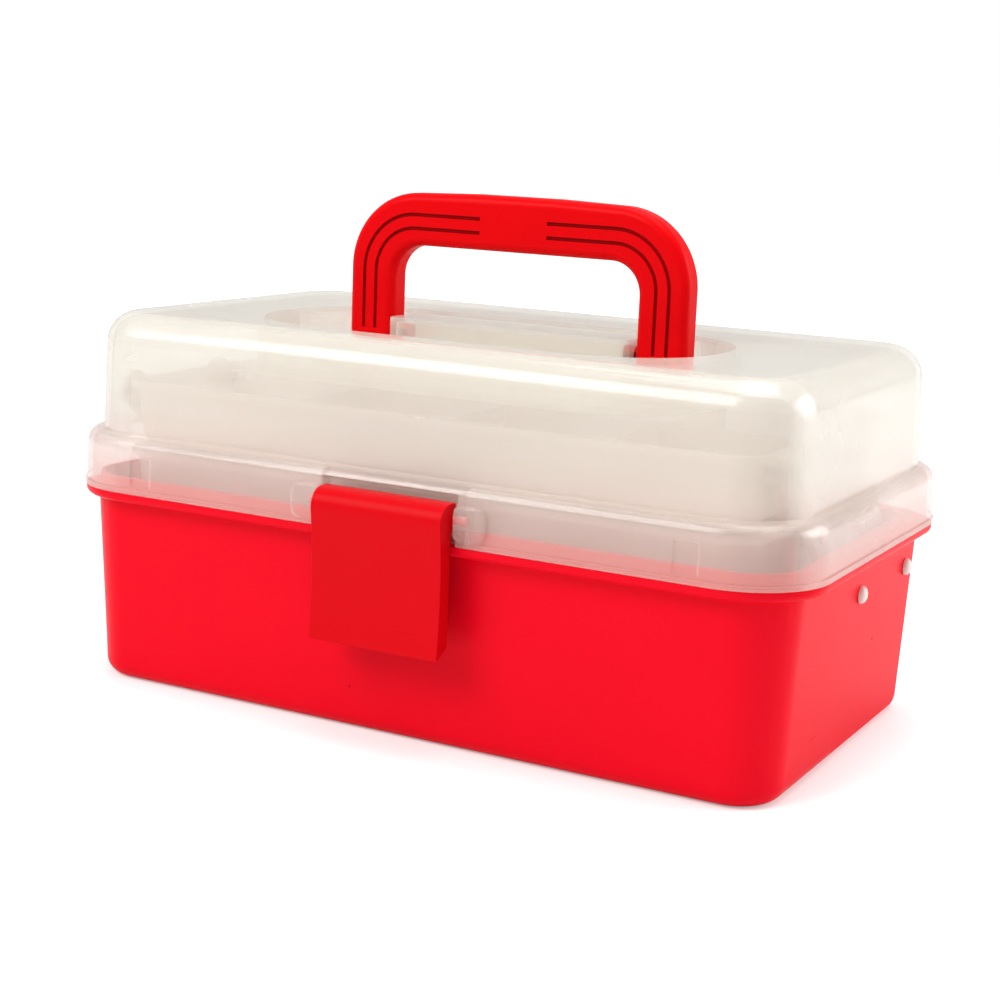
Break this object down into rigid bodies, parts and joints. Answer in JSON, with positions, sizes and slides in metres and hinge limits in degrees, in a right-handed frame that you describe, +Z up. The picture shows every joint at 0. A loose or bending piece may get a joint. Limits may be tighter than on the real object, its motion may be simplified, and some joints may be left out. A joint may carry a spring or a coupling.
{
  "type": "tiered tool box",
  "caption": "Red plastic tool box with a clear hinged lid, clear cantilever trays on swinging arms, a folding carry handle and a front latch.",
  "frame": {"origin": "centre of the tub's flat underside, where the box rests", "axes": "+X along the box's length to the right of the latch, +Y from the latch to the lid hinge, +Z up"},
  "size_m": [0.275, 0.1744, 0.1745],
  "materials": {
    "tub_red": "smooth glossy polypropylene",
    "handle_red": "smooth glossy polypropylene",
    "latch_red": "smooth polypropylene, slightly sheer",
    "lid_clear": "milky translucent polypropylene",
    "tray_clear": "milky translucent polypropylene",
    "arm_clear": "milky translucent polypropylene",
    "pin_clear": "milky translucent plastic",
    "hinge_steel": "drawn wire"
  },
  "bodies": {
    "tub": {"base_tub": "tub_red", "hinge_pin_left": "hinge_steel", "hinge_pin_right": "hinge_steel", "base_pin_front_left": "pin_clear", "base_pin_front_right": "pin_clear", "base_pin_rear_left": "pin_clear", "base_pin_rear_right": "pin_clear"},
    "lid": {"lid_shell": "lid_clear"},
    "handle": {"carry_handle": "handle_red"},
    "latch": {"front_latch": "latch_red"},
    "lower_tray": {"lower_tray": "tray_clear", "lower_pin_front_left": "pin_clear", "lower_pin_front_right": "pin_clear", "lower_pin_rear_left": "pin_clear", "lower_pin_rear_right": "pin_clear"},
    "upper_tray": {"upper_tray": "tray_clear", "upper_pin_front_left": "pin_clear", "upper_pin_front_right": "pin_clear", "upper_pin_rear_left": "pin_clear", "upper_pin_rear_right": "pin_clear"},
    "arm_front_left": {"arm_front_left": "arm_clear"},
    "arm_front_right": {"arm_front_right": "arm_clear"},
    "arm_rear_left": {"arm_rear_left": "arm_clear"},
    "arm_rear_right": {"arm_rear_right": "arm_clear"}
  },
  "joints": [
    {"name": "lid_hinge", "type": "hinge", "parent": "tub", "child": "lid", "pos_m": [0, 0.084, 0.07], "axis": [-1, 0, 0], "range_deg": [0, 108]},
    {"name": "handle_fold", "type": "hinge", "parent": "lid", "child": "handle", "pos_m": [0, 0.002, 0.1245], "axis": [1, 0, 0], "range_deg": [0, 90]},
    {"name": "latch_swing", "type": "hinge", "parent": "lid", "child": "latch", "pos_m": [0, -0.0792, 0.078], "axis": [-1, 0, 0], "range_deg": [0, 75]},
    {"name": "arm_front_left_swing", "type": "hinge", "parent": "tub", "child": "arm_front_left", "pos_m": [-0.1231, 0.003, 0.054], "axis": [-1, 0, 0], "range_deg": [0, 50]},
    {"name": "arm_rear_left_swing", "type": "hinge", "parent": "tub", "child": "arm_rear_left", "pos_m": [-0.1231, 0.052, 0.054], "axis": [-1, 0, 0], "range_deg": [0, 50]},
    {"name": "arm_front_right_swing", "type": "hinge", "parent": "tub", "child": "arm_front_right", "pos_m": [0.1231, 0.003, 0.054], "axis": [-1, 0, 0], "range_deg": [0, 50]},
    {"name": "arm_rear_right_swing", "type": "hinge", "parent": "tub", "child": "arm_rear_right", "pos_m": [0.1231, 0.052, 0.054], "axis": [-1, 0, 0], "range_deg": [0, 50]},
    {"name": "lower_tray_pivot", "type": "hinge", "parent": "arm_front_right", "child": "lower_tray", "pos_m": [0.1231, -0.025, 0.078], "axis": [-1, 0, 0], "range_deg": [-50, 0]},
    {"name": "upper_tray_pivot", "type": "hinge", "parent": "arm_front_right", "child": "upper_tray", "pos_m": [0.1231, -0.053, 0.102], "axis": [-1, 0, 0], "range_deg": [-50, 0]}
  ],
  "couplings": [
    {"joint": "arm_front_left_swing", "follows": "lid_hinge", "ratio": 0.463},
    {"joint": "arm_rear_left_swing", "follows": "lid_hinge", "ratio": 0.463},
    {"joint": "arm_front_right_swing", "follows": "lid_hinge", "ratio": 0.463},
    {"joint": "arm_rear_right_swing", "follows": "lid_hinge", "ratio": 0.463},
    {"joint": "lower_tray_pivot", "follows": "lid_hinge", "ratio": -0.463},
    {"joint": "upper_tray_pivot", "follows": "lid_hinge", "ratio": -0.463}
  ]
}
